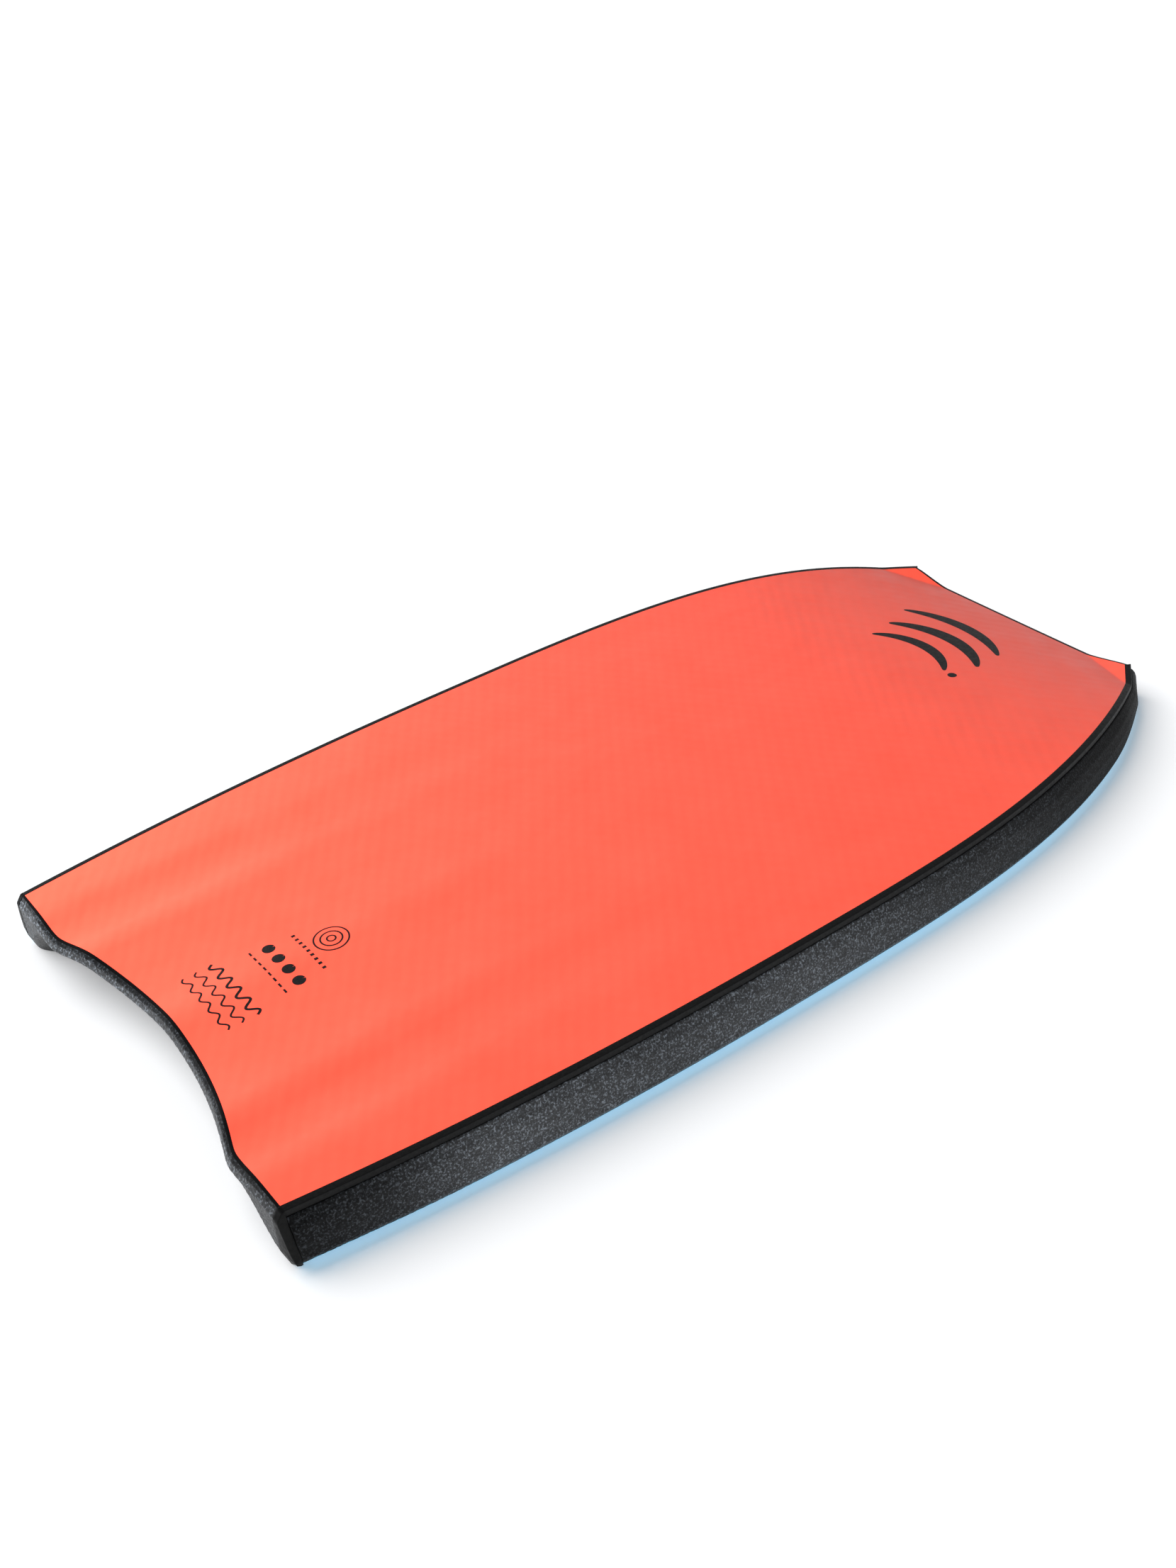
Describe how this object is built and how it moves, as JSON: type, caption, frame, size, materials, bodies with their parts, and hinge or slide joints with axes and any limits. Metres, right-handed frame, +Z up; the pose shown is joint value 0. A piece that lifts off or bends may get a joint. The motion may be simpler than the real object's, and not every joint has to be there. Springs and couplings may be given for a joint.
{
  "type": "bodyboard",
  "caption": "Foam bodyboard with a crescent tail, channelled slick bottom skin, textured two-layer rails, soft deck skin and an internal stringer.",
  "frame": {"origin": "centre of the footprint at deck level: the board lies on its deck, with its slick bottom skin uppermost", "axes": "+X towards the nose, +Y towards the left rail as seen from the tail, +Z up out of the slick bottom skin"},
  "size_m": [1.0919, 0.595, 0.06],
  "materials": {
    "core_foam": "expanded bead foam",
    "stringer": "wound fibre tube",
    "plug_foam": "soft foam",
    "mesh": "open woven net in film",
    "slick": "smooth, slightly glossy skin over mesh",
    "deck": "soft fine-celled foam",
    "rail_inner": "smooth closed-cell foam",
    "rail_outer": "pebbled closed-cell foam",
    "tail_foam": "pebbled closed-cell foam",
    "print_ink": "flat screen-printed ink"
  },
  "bodies": {
    "root": {"foam_core": "core_foam", "stringer_tube": "stringer", "stringer_tail_plug": "plug_foam", "stringer_nose_plug": "plug_foam", "bottom_mesh": "mesh", "deck_mesh": "mesh", "slick_skin": "slick", "deck_skin": "deck", "chine_left": "deck", "chine_right": "deck", "inner_rail_left": "rail_inner", "inner_rail_right": "rail_inner", "outer_rail_left": "rail_outer", "outer_rail_right": "rail_outer", "tail_band": "tail_foam", "tail_corner_left": "tail_foam", "tail_corner_right": "tail_foam", "nose_rail": "rail_inner"}
  },
  "joints": []
}
